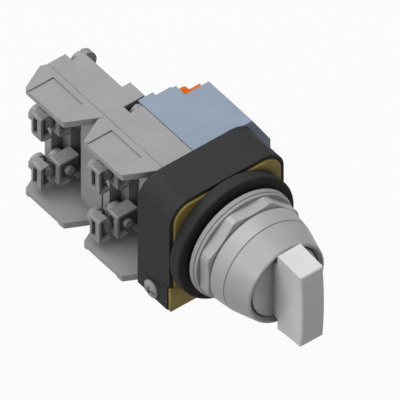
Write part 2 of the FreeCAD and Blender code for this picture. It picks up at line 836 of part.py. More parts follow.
def carrier_lane(column):
    """The left or right half of the carrier, one for each contact bridge."""
    half = (cavity_right - cavity_left - carrier_web) / 2 - 0.2
    if column == 0:
        return cavity_left + carrier_play, cavity_left + carrier_play + half
    return cavity_right - carrier_play - half, cavity_right - carrier_play


def bridge_places(column):
    """Front and rear of a bridge at rest, clear of its fixed contacts by the travel."""
    if column == 0:
        rear = back_strip_y - fixed_button - contact_gap - rod_travel - bridge_button
        return rear - bridge_t, rear
    first = front_strip_y + strip_width + fixed_button + contact_gap + rod_travel + bridge_button
    return first, first + bridge_t


def make_carrier():
    body = box((cavity_left + carrier_play, cavity_right - carrier_play), (carrier_front, carrier_rear),
               (carrier_bottom, carrier_top))
    spine = rod(stem_r, (0, block_pitch), -rod_pin_x)
    carrier = joined([body, spine])
    for column, outer_sign in ((0, -1), (1, 1)):
        slot = lane_slot(carrier_lane(column), bridge_places(column), outer_sign)
        carrier = carrier.cut(slot)
    return carrier


def bridge(lane, y, zs, rearward):
    """A contact bar along Z with a button for each fixed contact."""
    half = bridge_button_len / 2
    pieces = [box(lane, y, (min(zs) - half, max(zs) + half))]
    for z in zs:
        button = (max(y) - 0.1, max(y) + bridge_button) if rearward \
            else (min(y) - bridge_button, min(y) + 0.1)
        pieces.append(rod(contact_button_r, button, sum(lane) / 2, z))
    return joined(pieces)


def make_bridges():
    bars = []
    for column in (0, 1):
        zs = [strip_level(column, top) + strip_t / 2 for top in clamp_tops]
        bars.append(bridge(carrier_lane(column), bridge_places(column), zs, column == 0))
    return group(bars)


def lane_slot(lane, y, outer_sign):
    """The cut in a carrier that one contact bridge lies in."""
    out = (lane[0] - 0.2, lane[1] + 0.05) if outer_sign < 0 else (lane[0] - 0.05, lane[1] + 0.2)
    return box(out, (min(y) - 0.05, max(y) + 0.05), (carrier_bottom - 1, carrier_top + 1))


def coil(inner_r, wire_r, start, end, turns, x, z=0.0):
    """A compression spring along Y."""
    mean_r = inner_r + wire_r
    length = end - start - 2 * wire_r
    helix = Part.makeHelix(length / turns, length, mean_r)
    path = Part.Wire(helix.Edges)
    circle = Part.makeCircle(wire_r, vec(mean_r, 0, 0), Y_AXIS)
    pipe = path.makePipeShell([Part.Wire([circle])], True, True)
    pipe.rotate(vec(0, 0, 0), vec(1, 0, 0), -90)
    pipe.translate(vec(x, start + wire_r, z))
    return pipe


def make_return_spring():
    return coil(stem_r + 0.06, spring_wire_r, carrier_rear + 0.05, cavity_rear - 0.05,
                spring_turns, -rod_pin_x)


# Terminals

def make_clamp(column, row):
    """A bent clamp: left cheek with a window, roof, floor and the rear wall the screw goes through."""
    left, top = clamp_left[column], clamp_tops[row]
    front_y = clamp_front[column]
    rear_y = front_y + clamp_depth
    low = top - clamp_height
    right_top, right_low = left + clamp_top_len[column], left + clamp_floor_len[column]
    bend = [(right_top, top - clamp_wall), (right_top, top), (left, top), (left, low), (right_low, low),
            (right_low, low + clamp_wall), (left + clamp_wall, low + clamp_wall),
            (left + clamp_wall, top - clamp_wall)]
    strap = front(bend, (front_y, rear_y))
    strap = round_edges(strap, clamp_bend_r,
                        lambda e: along(e, Y_AXIS) and e.Vertexes[0].X < left + 0.01)
    heel = side([(rear_y + past, low - past), (rear_y + past, low + clamp_heel + past),
                 (rear_y - clamp_heel - past, low - past)], (left - past, right_low + past))
    strap = strap.cut(heel)
    lip = box((left + clamp_wall, right_low), (front_y - clamp_lip, front_y + 0.1),
              (low, low + clamp_wall))
    back = box((left + clamp_wall - 0.1, right_low), (rear_y - clamp_wall, rear_y),
               (low + clamp_wall + strip_lift[column] + strip_t + 0.1, top - clamp_wall + 0.05))
    clamp = joined([strap, lip, back])
    window = box((left - 1, left + clamp_wall + 0.01),
                 (front_y + window_y[0], front_y + window_y[1]),
                 (top + window_z[0], top + window_z[1]))
    hole = rod(term_shank_r + running, (front_y, rear_y + 1), left + term_x, top - term_drop)
    return clamp.cut(window).cut(hole)


def slotted_head(radius, thickness, y, x, z, angle=0.0):
    """A cheese head whose slot faces the rear."""
    head = turned([(0, y), (radius, y), (radius, y + thickness - head_edge),
                   (radius - head_edge, y + thickness), (0, y + thickness)])
    slot = box((-radius - 1, radius + 1), (y + thickness - slot_depth, y + thickness + 1),
               (-slot_width / 2, slot_width / 2))
    slot.rotate(vec(0, 0, 0), Y_AXIS, angle)
    head = head.cut(slot)
    head.translate(vec(x, 0, z))
    return head


def make_terminal_screws():
    screws = []
    for column in (0, 1):
        for top in clamp_tops:
            x, z = clamp_left[column] + term_x, top - term_drop
            front_y = clamp_front[column]
            head_y = front_y + clamp_depth + term_head_gap
            shank = rod(term_shank_r, (front_y - term_tip, head_y + 0.2), x, z)
            head = slotted_head(term_head_r, term_head_t, head_y, x, z)
            screws.append(joined([shank, head]))
    return group(screws)


def make_mount_screws(front_y, tip_y, tip_r):
    """Two long screws on the middle plane with tapped heads, so that a further block can follow."""
    screws = []
    for z in (mount_z, mirrored_about_mid(mount_z)):
        head_y = front_y + mount_head_front
        shank = rod(mount_shank_r, (tip_y, head_y + 0.2), 0, z)
        pieces = [shank, slotted_head(mount_head_r, mount_head_t, head_y, 0, z, 90.0)]
        if tip_r < mount_shank_r:
            pieces.append(rod(tip_r, (tip_y - mount_tap_depth + 0.2, tip_y + 0.2), 0, z))
        screw = joined(pieces)
        head_rear = head_y + mount_head_t
        screws.append(screw.cut(rod(mount_tap_r, (head_rear - mount_tap_depth, head_rear + 1), 0, z)))
    return group(screws)


# Blue-grey block, built in the frame of the whole switch

def make_blue_housing():
    left = split_gap
    low = mirrored_about_mid(block_top)
    low_shoulder = mirrored_about_mid(blue_shoulder_z)
    outline = [(left, low), (blue_shoulder_x, low), (blue_right, low_shoulder),
               (blue_right, blue_shoulder_z), (blue_shoulder_x, block_top), (left, block_top)]
    body = [front(outline, (block_front, blue_rear))]
    start = left
    for right, rear in blue_steps:
        body.append(box((start, right), (blue_rear - 0.1, rear), (blue_tail_bottom, block_top)))
        start = right - 0.05
    housing = joined(body)

    cavity = box((-cavity_right, -cavity_left), (block_front + blue_cavity_front,
                 block_front + cavity_rear), (blue_cavity_bottom, cavity_top))
    stem = rod(stem_r + running, (block_front - 1, block_front + cavity_front + 1), rod_pin_x)
    arm_room = (arm_y - rod_travel - 0.15, arm_y + arm_t + rod_travel + 0.3)
    arm_way = front(arm_profile(arm_play), arm_room)
    cuts = [cavity, stem, arm_way]
    for z in (mount_z, mirrored_about_mid(mount_z)):
        cuts.append(rod(mount_shank_r + 0.2, (0, block_front + block_pitch + 1), 0, z))
        well = (block_front + mount_head_front - 0.1, block_front + block_pitch + 1)
        cuts.append(rod(mount_head_r + head_well_play, well, 0, z))
    for column, x in enumerate(blue_well_x):
        for z in blue_well_z:
            cuts.append(rod(blue_well_r, (blue_rear - blue_well_depth, blue_rear + 1), x, z))
            screw_room = blue_rear - blue_well_depth + blue_screw_lift - blue_screw_len - fit_gap
            cuts.append(rod(blue_screw_shank_r + fit_gap, (screw_room, blue_rear), x, z))
            cuts.append(blue_strip_shape(column, z, strip_play))
    half = blue_entry / 2
    for z in blue_well_z:
        deep = blue_rear - blue_well_depth
        entry_rear = deep + blue_entry_ahead
        cuts.append(box((blue_well_x[1] + 0.5, blue_right + 1), (entry_rear - blue_entry, entry_rear),
                        (z - half, z + half)))
    for cutter in cuts:
        housing = housing.cut(cutter)
    return housing.removeSplitter()


def blue_strip_y(column):
    """Front and rear of the near or far strip of the blue-grey block."""
    front_y = blue_rear - blue_well_depth - blue_strip_ahead[column]
    return front_y, front_y + blue_strip_width


def blue_lane(column):
    left, right = carrier_lane(1 - column)
    return -right, -left


def blue_bridge_y(column):
    if column == 1:
        rear = blue_strip_y(column)[0] - contact_gap - rod_travel - bridge_button
        return rear - bridge_t, rear
    first = blue_strip_y(column)[1] + contact_gap + rod_travel + bridge_button
    return first, first + bridge_t


def blue_strip_shape(column, z, play=0.0):
    """Flat contact strip from a screw well in towards the carrier slot."""
    y0, y1 = blue_strip_y(column)
    level = z - blue_strip_drop[column]
    start = blue_lane(column)[0] + 0.1
    strip_z = (level - strip_t / 2 - play, level + strip_t / 2 + play)
    return box((start - play, blue_well_x[column] + blue_strip_past + play), (y0 - play, y1 + play), strip_z)


def make_blue_strips():
    strips = []
    for column, x in enumerate(blue_well_x):
        for z in blue_well_z:
            strip = blue_strip_shape(column, z)
            strips.append(strip.cut(rod(blue_screw_shank_r + fit_gap, (block_front, blue_rear), x, z)))
    return group(strips)


def make_blue_bridges():
    bars = []
    for column in (0, 1):
        zs = [z - blue_strip_drop[column] for z in blue_well_z]
        bars.append(bridge(blue_lane(column), blue_bridge_y(column), zs, column == 1))
    return group(bars)


def make_blue_screws():
    screws = []
    for x in blue_well_x:
        for z in blue_well_z:
            y = blue_rear - blue_well_depth + blue_screw_lift
            head = slotted_head(blue_screw_r, blue_screw_t, y, x, z, 15.0)
            shank = rod(blue_screw_shank_r, (y - blue_screw_len, y + blue_screw_lift), x, z)
            screws.append(joined([shank, head]))
    return group(screws)


def arm_profile(grow=0.0):
    """Riser, foot, upright and cross arm of the orange carrier, round the mounting screw."""
    left, right = -cavity_right + carrier_play - grow, -cavity_left - carrier_play + grow
    foot_low, foot_high = arm_foot_z[0] - grow, arm_foot_z[1] + grow
    root_left, root_right = arm_root_x[0] - grow, arm_root_x[1] + grow
    return [(left, carrier_top - 0.1), (right, carrier_top - 0.1), (right, foot_low),
            (root_right, foot_low), (root_right, arm_bottom - grow), (arm_right + grow, arm_bottom - grow),
            (arm_right + grow, arm_top + grow), (root_left, arm_top + grow), (root_left, foot_high),
            (left, foot_high)]


def make_orange_carrier():
    """The right carrier: stem, plate in the slot, cross arm and round button in one moulding."""
    stem = rod(stem_r, (block_front, block_front + carrier_front + 0.2), rod_pin_x)
    left, right = -cavity_right + carrier_play, -cavity_left - carrier_play
    plate = box((left, right), (block_front + carrier_front, arm_y + arm_t), (carrier_bottom, carrier_top))
    arm = front(arm_profile(), (arm_y, arm_y + arm_t))
    button = rod(button_r, (arm_y, button_rear), button_x, button_z)
    carrier = joined([stem, plate, arm, button])
    for column, outer_sign in ((0, -1), (1, 1)):
        carrier = carrier.cut(lane_slot(blue_lane(column), blue_bridge_y(column), outer_sign))
    return carrier


def make_blue_spring():
    start = block_front + blue_cavity_front + 0.05
    return coil(stem_r + 0.06, spring_wire_r, start, block_front + carrier_front - 0.05,
                spring_turns, rod_pin_x)


os.makedirs("parts", exist_ok=True)


def save(name, shape, shift=0.0):
    shape = shape.copy()
    shape.translate(vec(0, shift, 0))
    shape.exportStep("parts/" + name + ".step")


save("knob", make_knob())
save("knob_set_screw", make_set_screw())
save("cam_shaft", make_shaft())
save("bezel", make_bezel())
save("mounting_nut", make_nut())
save("trim_ring", make_flat_ring(trim_r, -panel_gap - washer_t, trim_t))
save("thrust_washer", make_flat_ring(washer_r, -panel_gap, washer_t))
save("panel_gasket", make_gasket())
save("shaft_seal", make_seal())
save("base_casting", make_casting())
save("cover_shell", make_shell())
save("foot_block", make_foot())
save("ground_screw", make_ground_screw())
save("body_screws", make_body_screws())
save("detent_spring", make_detent())
save("push_rod_left", make_push_rod(-1))
save("push_rod_right", make_push_rod(1))

blocks = (("front", block_front, False), ("rear", block_front + block_pitch, True))
for label, start, lug in blocks:
    save("grey_housing_" + label, make_grey_housing(lug), start)
    save("carrier_" + label, make_carrier(), start)
    save("bridges_" + label, make_bridges(), start)
    save("return_spring_" + label, make_return_spring(), start)
    save("terminal_screws_" + label, make_terminal_screws(), start)
    for column in (0, 1):
        for row in (0, 1):
            mark = ("upper", "lower")[row] + "_" + ("outer", "inner")[column] + "_" + label
            save("clamp_" + mark, make_clamp(column, row), start)
            save("contact_" + mark, make_strip(column, row), start)

head_rear = block_front + mount_head_front + mount_head_t
save("mounting_screws_front", make_mount_screws(block_front, mount_end, mount_shank_r))
save("mounting_screws_rear", make_mount_screws(block_front + block_pitch, head_rear + 0.1,
                                               mount_tap_r - running))
save("blue_housing", make_blue_housing())
save("orange_carrier", make_orange_carrier())
save("bridges_blue", make_blue_bridges())
save("return_spring_blue", make_blue_spring())
save("contact_strips_blue", make_blue_strips())
save("terminal_screws_blue", make_blue_screws())
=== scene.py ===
import math

import bmesh
import bpy
from bpy.props import FloatProperty, FloatVectorProperty, IntProperty, PointerProperty
from bpy.types import Operator, Panel, PropertyGroup
from mathutils import Matrix, Vector


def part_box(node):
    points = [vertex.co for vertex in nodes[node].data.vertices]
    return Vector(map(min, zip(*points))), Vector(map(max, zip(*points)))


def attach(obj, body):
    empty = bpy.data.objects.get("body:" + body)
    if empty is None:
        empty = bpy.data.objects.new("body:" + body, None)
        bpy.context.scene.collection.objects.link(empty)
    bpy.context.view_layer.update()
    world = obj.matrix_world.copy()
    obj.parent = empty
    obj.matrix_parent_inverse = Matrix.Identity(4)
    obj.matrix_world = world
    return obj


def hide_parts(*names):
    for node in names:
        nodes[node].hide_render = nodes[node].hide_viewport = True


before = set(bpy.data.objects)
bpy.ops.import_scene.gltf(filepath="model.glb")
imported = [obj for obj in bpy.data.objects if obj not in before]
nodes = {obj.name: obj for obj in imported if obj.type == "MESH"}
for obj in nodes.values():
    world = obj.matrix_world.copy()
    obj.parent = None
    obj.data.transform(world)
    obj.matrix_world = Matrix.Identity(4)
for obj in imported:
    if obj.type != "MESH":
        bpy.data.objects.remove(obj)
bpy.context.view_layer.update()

bl_info = {
    "name": "Panel selector switch",
    "version": (1, 0, 0),
    "blender": (4, 5, 0),
    "location": "View3D > Sidebar > Switch",
    "description": "Finishes, threads and stage for a selector switch with three contact blocks",
    "category": "Object",
}

# One millimetre, in metres.
MM = 0.001


# Names of the nodes, in the groups that share a finish

LABELS = ("front", "rear")
ROWS = ("upper", "lower")
COLUMNS = ("outer", "inner")
TERMINALS = [row + "_" + column + "_" + label
             for label in LABELS for row in ROWS for column in COLUMNS]


# Sizes and colours that a user would change

def colour(name, description, value):
    return FloatVectorProperty(name=name, description=description, default=value, size=3,
                               min=0.0, max=1.0, subtype="COLOR")


def length(name, description, value_mm):
    return FloatProperty(name=name, description=description, default=value_mm * MM, min=0.0,
                         precision=6, subtype="DISTANCE", unit="LENGTH")


class SwitchColours(PropertyGroup):
    knob: colour("Knob", "Light grey moulding of the handle", (0.70, 0.70, 0.70))
    collar: colour("Collar", "Satin plating of bezel, nut and rings", (0.41, 0.41, 0.41))
    rubber: colour("Rubber", "Gasket and shaft seal", (0.040, 0.040, 0.041))
    casting: colour("Casting", "Yellow chromate on the die casting", (0.35, 0.257, 0.070))
    casting_tint: colour("Casting tint", "Darker tint in the chromate", (0.22, 0.172, 0.047))
    cover: colour("Cover", "Black moulding behind the panel", (0.043, 0.043, 0.0435))
    grey_block: colour("Grey block", "Moulding of the grey contact blocks", (0.343, 0.343, 0.345))
    blue_block: colour("Blue block", "Moulding of the blue-grey contact block", (0.275, 0.335, 0.425))
    carrier: colour("Carrier", "Orange moulding with the indicator button", (0.88, 0.17, 0.0))
    white_carrier: colour("White moulding", "Carriers and rods inside", (0.72, 0.70, 0.64))
    zinc: colour("Zinc", "Dull zinc on screws and clamps", (0.33, 0.33, 0.335))
    brass: colour("Brass", "Bridges and strips inside", (0.62, 0.43, 0.17))
    # Tin, made darker than bare tin to paint the shade in the clamp mouths
    tin: colour("Tin", "Dull tin on the contact strips at the terminals", (0.125, 0.125, 0.127))
    steel: colour("Steel", "Springs and shaft", (0.36, 0.35, 0.34))


class SwitchSizes(PropertyGroup):
    rib_count: IntProperty(name="Rib count", description="Ribs round each flat ring", default=210,
                           min=12, max=400)
    rib_height: length("Rib height", "How far a rib stands out of a ring's edge", 0.09)
    neck_pitch: length("Neck pitch", "Pitch of the thread on the neck", 1.0)
    neck_depth: length("Neck thread", "Height of the neck's thread", 0.1)
    screw_pitch: length("Screw pitch", "Pitch of the terminal screws", 0.45)
    screw_depth: length("Screw thread", "Height of the terminal screws' thread", 0.08)
    view_width: length("View width", "Width of the picture at the object", 111.85)
    floor_drop: length("Floor drop", "How far the floor lies under the axis", 150.0)


# Materials

class Finish:
    """A procedural material that is put together step by step."""

    edge_samples = 6
    # Cosines between the rounded and the flat normal where the edge mask is 0 and where it is 1
    edge_none = 0.99
    edge_full = 0.80
    hollow_samples = 6
    # The painted hollow shade darkens over this range of openness, below the openness that stays
    # unshaded
    hollow_range = 0.6

    def __init__(self, name, metallic=0.0, specular=0.5):
        self.material = bpy.data.materials.new(name)
        self.material.use_nodes = True
        self.tree = self.material.node_tree
        self.shader = self.tree.nodes["Principled BSDF"]
        self.shader.inputs["Metallic"].default_value = metallic
        self.shader.inputs["Specular IOR Level"].default_value = specular
        self.place = self.node("ShaderNodeTexCoord").outputs["Object"]
        self.normal = None

    def node(self, kind, **inputs):
        """A new shader node with a value or a link on each socket named."""
        made = self.tree.nodes.new(kind)
        for key, value in inputs.items():
            self.feed(made.inputs[key], value)
        return made

    def feed(self, socket, value):
        """Links a socket to another one, or sets its value."""
        if isinstance(value, bpy.types.NodeSocket):
            self.tree.links.new(value, socket)
        else:
            socket.default_value = value

    def noise(self, size_mm, detail=3.0, stretch=None, rough=0.5):
        """Noise with lumps of about the size given, pulled along an axis where stretch says so."""
        made = self.node("ShaderNodeTexNoise", Vector=self.place if stretch is None else stretch)
        made.inputs["Scale"].default_value = 1.0 / (size_mm * MM)
        made.inputs["Detail"].default_value = detail
        made.inputs["Roughness"].default_value = rough
        return made.outputs["Fac"]

    def stretched(self, x, y, z):
        """Coordinates scaled along each axis: a small number draws the pattern out along it."""
        made = self.node("ShaderNodeVectorMath")
        made.operation = "MULTIPLY"
        self.feed(made.inputs[0], self.place)
        made.inputs[1].default_value = (x, y, z)
        return made.outputs["Vector"]

    def lathe_place(self, round_share=0.02):
        """Coordinates that follow the tool on a piece turned about the Y axis."""
        parts = self.node("ShaderNodeSeparateXYZ", Vector=self.place)
        square_x = self.math("MULTIPLY", parts.outputs["X"], parts.outputs["X"])
        square_z = self.math("MULTIPLY", parts.outputs["Z"], parts.outputs["Z"])
        radius = self.math("SQRT", self.math("ADD", square_x, square_z))
        along = self.node("ShaderNodeCombineXYZ", X=radius, Y=parts.outputs["Y"])
        soft = self.node("ShaderNodeVectorMath")
        soft.operation = "MULTIPLY_ADD"
        self.feed(soft.inputs[0], self.place)
        soft.inputs[1].default_value = (round_share,) * 3
        self.feed(soft.inputs[2], along.outputs["Vector"])
        return soft.outputs["Vector"]

    def math(self, operation, first, second=0.0):
        """The result of one sum on numbers or sockets."""
        made = self.node("ShaderNodeMath")
        made.operation = operation
        self.feed(made.inputs[0], first)
        self.feed(made.inputs[1], second)
        return made.outputs["Value"]

    def spread(self, value, low, high, to_low=0.0, to_high=1.0):
        """Maps the range from low to high onto the range from to_low to to_high."""
        made = self.node("ShaderNodeMapRange", Value=value)
        for key, number in (("From Min", low), ("From Max", high), ("To Min", to_low),
                            ("To Max", to_high)):
            made.inputs[key].default_value = number
        return made.outputs["Result"]

    def blend(self, share, first, second):
        """The first colour where the share is 0, and the second where it is 1."""
        made = self.node("ShaderNodeMix")
        made.data_type = "RGBA"
        self.feed(made.inputs["Factor"], share)
        for key, value in (("A", first), ("B", second)):
            socket = next(s for s in made.inputs if s.name == key and s.type == "RGBA")
            self.feed(socket, value if isinstance(value, bpy.types.NodeSocket) else (*value, 1.0))
        return next(s for s in made.outputs if s.type == "RGBA")

    def edges(self, radius_mm):
        """Rounds the look of sharp edges, and gives a mask that is 1 on them."""
        round_edge = self.node("ShaderNodeBevel")
        round_edge.samples = self.edge_samples
        round_edge.inputs["Radius"].default_value = radius_mm * MM
        self.normal = round_edge.outputs["Normal"]
        flat = self.node("ShaderNodeNewGeometry").outputs["Normal"]
        dot = self.node("ShaderNodeVectorMath")
        dot.operation = "DOT_PRODUCT"
        self.feed(dot.inputs[0], self.normal)
        self.feed(dot.inputs[1], flat)
        return self.spread(dot.outputs["Value"], self.edge_none, self.edge_full)

    def bump(self, height, depth_mm, strength=1.0):
        """Adds fine relief to the normal."""
        made = self.node("ShaderNodeBump", Height=height)
        made.inputs["Distance"].default_value = depth_mm * MM
        made.inputs["Strength"].default_value = strength
        if self.normal is not None:
            self.feed(made.inputs["Normal"], self.normal)
        self.normal = made.outputs["Normal"]

    def painted_hollow_shade(self, base, reach_mm, most, open_at):
        """Paints shade into the base colour in hollows, darkening it by the share most where they are
        deepest.
        """
        hollow = self.node("ShaderNodeAmbientOcclusion")
        hollow.samples = self.hollow_samples
        hollow.inputs["Distance"].default_value = reach_mm * MM
        share = self.spread(hollow.outputs["AO"], open_at - self.hollow_range, open_at, most, 0.0)
        return self.blend(share, base, (0.0, 0.0, 0.0))

    def done(self, base, roughness, reach_mm=5.0, most=0.5, open_at=0.9):
        """Paints shade into the colour in hollows, then links the colour, the gloss and the normal to
        the shader.
        """
        base = self.painted_hollow_shade(base, reach_mm, most, open_at)
        self.feed(self.shader.inputs["Base Color"], base)
        self.feed(self.shader.inputs["Roughness"], roughness)
        if self.normal is not None:
            self.feed(self.shader.inputs["Normal"], self.normal)
        return self.material


def shade(value, factor):
    """A colour made darker or lighter by a factor."""
    return tuple(min(1.0, part * factor) for part in value)


def moulded_plastic(name, base, roughness, specular=0.35, grain_mm=0.22, grain_depth=0.006,
                    edge_mm=0.12, rubbed=1.18, reach_mm=6.0, painted_hollow_shade=0.45, open_at=0.9):
    """Spark-eroded mould grain, faint flow marks, edges rubbed a little smoother and paler, and
    painted shade in hollows.
    """
    finish = Finish(name, specular=specular)
    edge = finish.edges(edge_mm)
    flow = finish.noise(9.0, detail=2.0)
    fine = finish.noise(1.4, detail=4.0)
    grain = finish.noise(grain_mm, detail=2.0, rough=0.6)
    tone = finish.blend(finish.spread(flow, 0.3, 0.7), shade(base, 0.95), shade(base, 1.05))
    tone = finish.blend(finish.spread(fine, 0.55, 0.8, 0.0, 0.35), tone, shade(base, 0.88))
    tone = finish.blend(finish.math("MULTIPLY", edge, 0.45), tone, shade(base, rubbed))
    gloss = finish.spread(flow, 0.3, 0.7, roughness - 0.05, roughness + 0.06)
    gloss = finish.math("SUBTRACT", gloss, finish.math("MULTIPLY", edge, 0.1))
    finish.bump(grain, grain_depth)
    finish.bump(flow, 0.02, 0.5)
    return finish.done(tone, gloss, reach_mm, painted_hollow_shade, open_at)


def satin_plating(name, base, roughness=0.44, metallic=0.08):
    """Fine rings left by the lathe under a satin plating, with a few handling marks."""
    finish = Finish(name, metallic, specular=0.4)
    edge = finish.edges(0.10)
    lathe = finish.lathe_place()
    rings = finish.noise(0.09, detail=3.0, stretch=lathe, rough=0.6)
    wide_rings = finish.noise(0.8, detail=2.0, stretch=lathe)
    cloud = finish.noise(7.0, detail=3.0)
    marks = finish.spread(finish.noise(0.5, detail=6.0, stretch=finish.stretched(1.0, 4.0, 0.6),
                                       rough=0.7), 0.66, 0.74)
    tone = finish.blend(finish.spread(cloud, 0.3, 0.7), shade(base, 0.96), shade(base, 1.05))
    tone = finish.blend(finish.spread(wide_rings, 0.3, 0.7, 0.0, 0.3), tone, shade(base, 0.9))
    tone = finish.blend(finish.math("MULTIPLY", marks, 0.25), tone, shade(base, 1.25))
    tone = finish.blend(finish.math("MULTIPLY", edge, 0.5), tone, shade(base, 1.3))
    gloss = finish.spread(cloud, 0.3, 0.7, roughness - 0.04, roughness + 0.08)
    finish.bump(rings, 0.003)
    return finish.done(tone, gloss)


def soft_rubber(name, base):
    """Matt rubber: fine stipple, a dusty bloom in patches and a painted sheen on the rim."""
    finish = Finish(name, specular=0.06)
    edge = finish.edges(0.2)
    stipple = finish.noise(0.35, detail=3.0, rough=0.6)
    bloom = finish.noise(5.0, detail=5.0)
    tone = finish.blend(finish.spread(bloom, 0.45, 0.8, 0.0, 0.35), base, shade(base, 1.9))
    # Painted sheen: the rim is lightened in colour, not in gloss
    tone = finish.blend(finish.math("MULTIPLY", edge, 0.3), tone, shade(base, 1.6))
    gloss = finish.spread(bloom, 0.3, 0.7, 0.62, 0.8)
    finish.bump(stipple, 0.012)
    return finish.done(tone, gloss)


def chromated_casting(name, base, tint, violet_film=(0.16, 0.11, 0.11), pit_mm=0.9):
    """Die-cast zinc under yellow chromate: cloudy colour, pits and rubbed edges."""
    finish = Finish(name, metallic=0.2, specular=0.12)
    edge = finish.edges(0.14)
    cloud = finish.noise(6.0, detail=5.0, rough=0.55)
    violet = finish.noise(3.2, detail=4.0)
    skin = finish.noise(0.5, detail=4.0, rough=0.6)
    pits = finish.node("ShaderNodeTexVoronoi", Vector=finish.place)
    pits.inputs["Scale"].default_value = 1.0 / (pit_mm * MM)
    tone = finish.blend(finish.spread(cloud, 0.38, 0.66), base, tint)
    tone = finish.blend(finish.spread(violet, 0.58, 0.75, 0.0, 0.4), tone, violet_film)
    tone = finish.blend(finish.math("MULTIPLY", edge, 0.5), tone, shade(base, 1.35))
    gloss = finish.spread(cloud, 0.3, 0.7, 0.4, 0.56)
    finish.bump(finish.spread(pits.outputs["Distance"], 0.0, 0.12), 0.02, 0.5)
    finish.bump(skin, 0.016)
    return finish.done(tone, gloss)


def plated_steel(name, base, roughness=0.5, metallic=0.1, worn=1.15):
    """Zinc on pressed and turned steel, with scratches from the driver and dull patches."""
    finish = Finish(name, metallic, specular=0.2)
    edge = finish.edges(0.05)
    dull = finish.noise(1.8, detail=4.0)
    scratch = finish.noise(0.12, detail=4.0, stretch=finish.stretched(1.0, 0.15, 0.4), rough=0.7)
    spots = finish.noise(0.6, detail=5.0)
    tone = finish.blend(finish.spread(dull, 0.35, 0.7), shade(base, 1.05), shade(base, 0.82))
    tone = finish.blend(finish.spread(spots, 0.62, 0.75, 0.0, 0.35), tone, shade(base, 0.6))
    tone = finish.blend(finish.math("MULTIPLY", edge, 0.6), tone, shade(base, worn))
    gloss = finish.spread(dull, 0.3, 0.7, roughness - 0.06, roughness + 0.14)
    finish.bump(scratch, 0.004)
    # Painted shade in the small hollows, within 2 mm
    return finish.done(tone, gloss, reach_mm=2.0, most=0.4)


def contact_metal(name, base):
    """Rolled brass: grain along the strip, a brown film in patches."""
    finish = Finish(name, metallic=0.85, specular=0.4)
    edge = finish.edges(0.06)
    grain = finish.noise(0.1, detail=3.0, stretch=finish.stretched(0.15, 1.0, 1.0), rough=0.6)
    film = finish.noise(2.2, detail=5.0)
    tone = finish.blend(finish.spread(film, 0.4, 0.72), base, shade(base, 0.55))
    tone = finish.blend(finish.math("MULTIPLY", edge, 0.5), tone, shade(base, 1.25))
    gloss = finish.spread(film, 0.3, 0.7, 0.26, 0.5)
    finish.bump(grain, 0.003)
    return finish.done(tone, gloss)


def dress(material, *names):
    """Puts a material on every slot of the nodes named."""
    for name in names:
        piece = nodes[name]
        if not piece.material_slots:
            piece.data.materials.append(material)
        for slot in piece.material_slots:
            slot.material = material


# Meshes that are added to the CAD pieces, or take the place of one

# Corners of a mesh that are nearer than this, in metres, are one corner
SAME_PLACE = 1e-6
# How deep a rib or a thread ridge starts inside its piece
ROOT_SINK = 0.03 * MM
# Half the width of a rib's or a ridge's foot, and of a rib's crest, as shares of the pitch
FOOT_HALF = 0.34
RIB_CREST_HALF = 0.12
# Half the width of a ridge's crest, as a share of half its foot
RIDGE_CREST_HALF = 0.12
# Space before and after a thread as a share of its pitch, and the share of a turn in which it rises
THREAD_MARGIN = 0.35
THREAD_RISE = 0.3
LEAST_RISE = 0.05


def new_piece(name, mesh, body, material):
    """Puts a mesh in the scene as a piece that moves with a body."""
    piece = bpy.data.objects.new(name, mesh)
    bpy.context.scene.collection.objects.link(piece)
    piece.data.materials.append(material)
    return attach(piece, body)


def loose_parts(node):
    """Lowest and highest corners of each separate solid of a node."""
    work = bmesh.new()
    work.from_mesh(nodes[node].data)
    bmesh.ops.remove_doubles(work, verts=work.verts, dist=SAME_PLACE)
    left = set(work.verts)
    found = []
    while left:
        group, queue = [], [left.pop()]
        while queue:
            corner = queue.pop()
            group.append(corner.co.copy())
            for edge in corner.link_edges:
                other = edge.other_vert(corner)
                if other in left:
                    left.remove(other)
                    queue.append(other)
        found.append((Vector([min(p[i] for p in group) for i in range(3)]),
                      Vector([max(p[i] for p in group) for i in range(3)])))
    work.free()
    return sorted(found, key=lambda pair: tuple(pair[0]))


def moved_copy(node, shift):
    """The mesh of a node with each corner moved rearward by what shift gives for it."""
    source = nodes[node]
    mesh = source.data.copy()
    mesh.transform(source.matrix_world)
    mesh.materials.clear()
    for corner in mesh.vertices:
        corner.co.y += shift(corner.co.copy())
    return mesh


def ribs_round(name, radius, y_low, y_high, count, height):
    """Closed ribs along Y round the edge of a ring."""
    mesh = bpy.data.meshes.new(name)
    corners, faces = [], []
    pitch = 2 * math.pi / count
    root, crest = radius - ROOT_SINK, radius + height
    for number in range(count):
        middle = number * pitch
        first = len(corners)
        for y, y_crest in ((y_low, y_low + height), (y_high, y_high - height)):
            for share, r, at in ((-FOOT_HALF, root, y), (-RIB_CREST_HALF, crest, y_crest),
                                 (RIB_CREST_HALF, crest, y_crest), (FOOT_HALF, root, y)):
                angle = middle + share * pitch
                corners.append((r * math.cos(angle), at, r * math.sin(angle)))
        near, far = first, first + 4
        for step in range(4):
            after = (step + 1) % 4
            faces.append((near + step, near + after, far + after, far + step))
        faces.append((near + 3, near + 2, near + 1, near))
        faces.append((far, far + 1, far + 2, far + 3))
    mesh.from_pydata(corners, [], faces)
    tidy_normals(mesh)
    return mesh


def tidy_normals(mesh):
    """Turns all faces of a closed mesh outward."""
    work = bmesh.new()
    work.from_mesh(mesh)
    bmesh.ops.recalc_face_normals(work, faces=work.faces)
    work.to_mesh(mesh)
    work.free()


